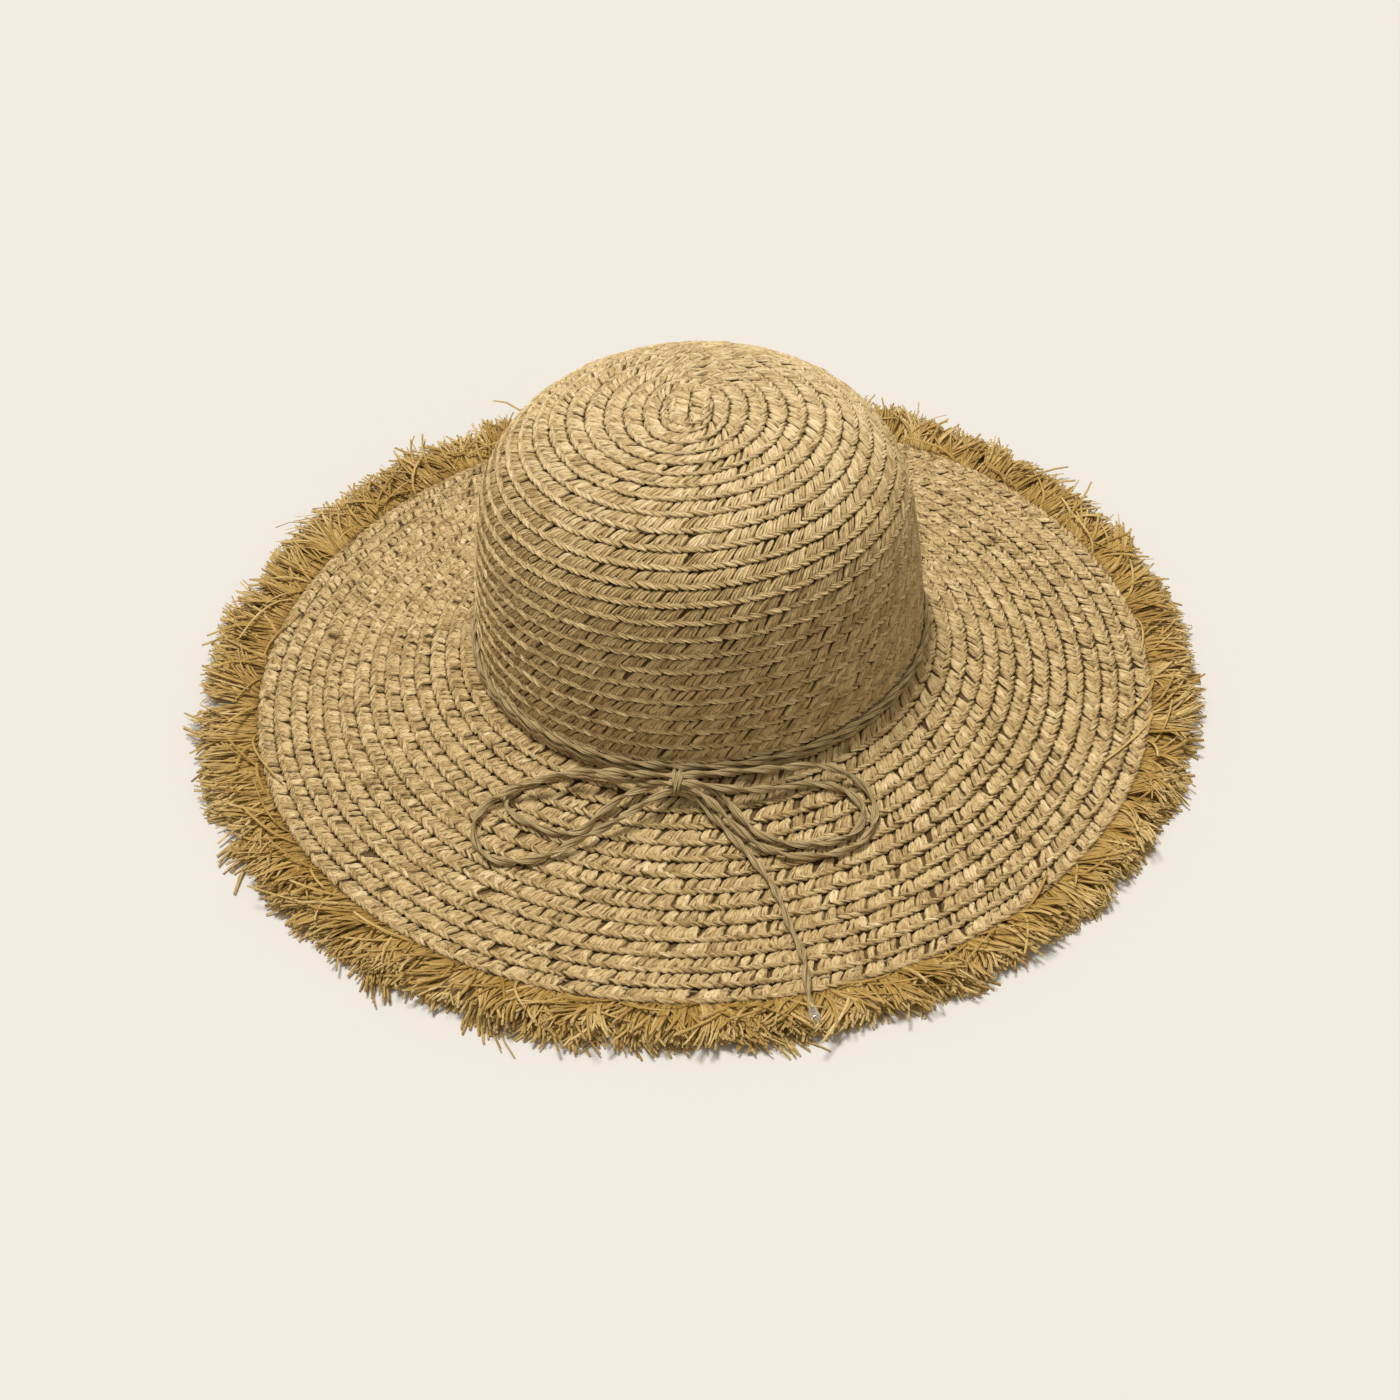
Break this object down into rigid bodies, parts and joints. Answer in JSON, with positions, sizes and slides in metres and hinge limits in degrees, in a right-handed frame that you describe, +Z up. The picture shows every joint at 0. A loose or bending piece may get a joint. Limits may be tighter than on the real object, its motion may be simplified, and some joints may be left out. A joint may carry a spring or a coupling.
{
  "type": "straw sun hat",
  "caption": "Wide-brimmed sun hat of spiral-sewn straw braid, with a round crown, a raffia fringe on the brim's edge, and a lift-off twisted cord band tied in a bow.",
  "frame": {"origin": "centre of the plane that the fringe and its heading rest on, under the crown's axis", "axes": "+Z up along the crown's axis, the bow at the front faces -Y, +X is to the right of someone who looks at the bow"},
  "size_m": [0.4219, 0.422, 0.1289],
  "materials": {
    "straw_braid": "matte woven paper straw",
    "raffia": "dry raffia strands",
    "paper_cord": "twisted paper cord",
    "ribbon": "ribbed ribbon",
    "thread": "sewing thread",
    "clear_bead": "clear drop"
  },
  "bodies": {
    "hat": {"crown_tip": "straw_braid", "crown_top": "straw_braid", "crown_shoulder": "straw_braid", "crown_side": "straw_braid", "brim_inner": "straw_braid", "brim_outer": "straw_braid", "brim_edge_row": "straw_braid", "edge_stitching": "thread", "fringe_heading": "raffia", "raffia_fringe": "raffia", "sweatband": "ribbon", "sweatband_stitching": "thread"},
    "band": {"band_cord_lower": "paper_cord", "band_cord_upper": "paper_cord", "bow_knot": "paper_cord", "bow_loop_left_outer": "paper_cord", "bow_loop_left_inner": "paper_cord", "bow_loop_right_outer": "paper_cord", "bow_loop_right_inner": "paper_cord", "bow_tail": "paper_cord", "tail_bead": "clear_bead"}
  },
  "joints": [
    {"name": "band_lift", "type": "slide", "parent": "hat", "child": "band", "axis": [0, 0, 1], "range_m": [0, 0.13]}
  ]
}
